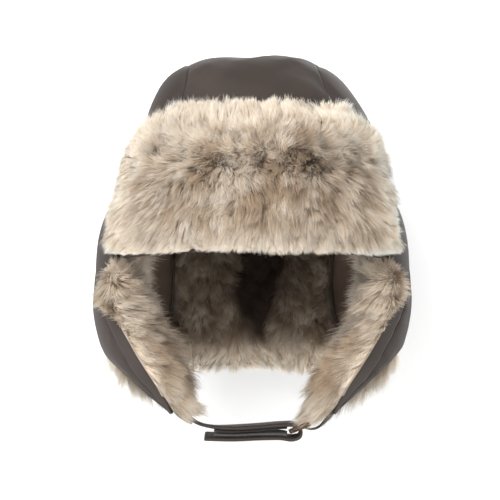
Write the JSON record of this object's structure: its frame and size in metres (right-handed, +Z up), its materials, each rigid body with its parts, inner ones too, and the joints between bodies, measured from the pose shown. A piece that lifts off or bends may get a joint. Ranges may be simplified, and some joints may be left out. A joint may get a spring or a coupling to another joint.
{
  "type": "fur-lined trapper hat",
  "caption": "Child's padded trapper hat with a turned-up fur front flap, fur-lined ear flaps and a fastened chin strap.",
  "frame": {"origin": "top of the head hollow, where the crown of the head meets the lining", "axes": "+Z up, the front of the hat faces -Y, +X to the right as the hat is seen from the front"},
  "size_m": [0.205, 0.2154, 0.2453],
  "materials": {
    "shell_cloth": "coated woven cloth, soft sheen",
    "lining_cloth": "smooth lining cloth",
    "pale_fur": "long pile fur, cream with grey-brown roots",
    "brown_fur": "long pile fur, mid brown",
    "tab_tape": "narrow woven tape",
    "strap_cloth": "coated woven cloth, soft sheen",
    "fastening_tape": "hook and loop tape",
    "ring_metal": "antique bronze, satin"
  },
  "bodies": {
    "root": {"crown_centre": "shell_cloth", "crown_side_left": "shell_cloth", "crown_side_right": "shell_cloth", "forehead_band": "shell_cloth", "front_flap_shell": "shell_cloth", "nape_panel": "shell_cloth", "ear_flap_front_left": "shell_cloth", "ear_flap_front_right": "shell_cloth", "ear_flap_rear_left": "shell_cloth", "ear_flap_rear_right": "shell_cloth", "crown_lining": "lining_cloth", "front_flap_fur": "pale_fur", "ear_flap_fur_left": "pale_fur", "ear_flap_fur_right": "pale_fur", "nape_fur": "brown_fur", "strap_tab_left": "tab_tape", "chin_strap": "strap_cloth", "strap_loop_right": "strap_cloth", "strap_loop_tape": "fastening_tape", "strap_hook_tape": "fastening_tape", "strap_ring": "ring_metal"}
  },
  "joints": []
}
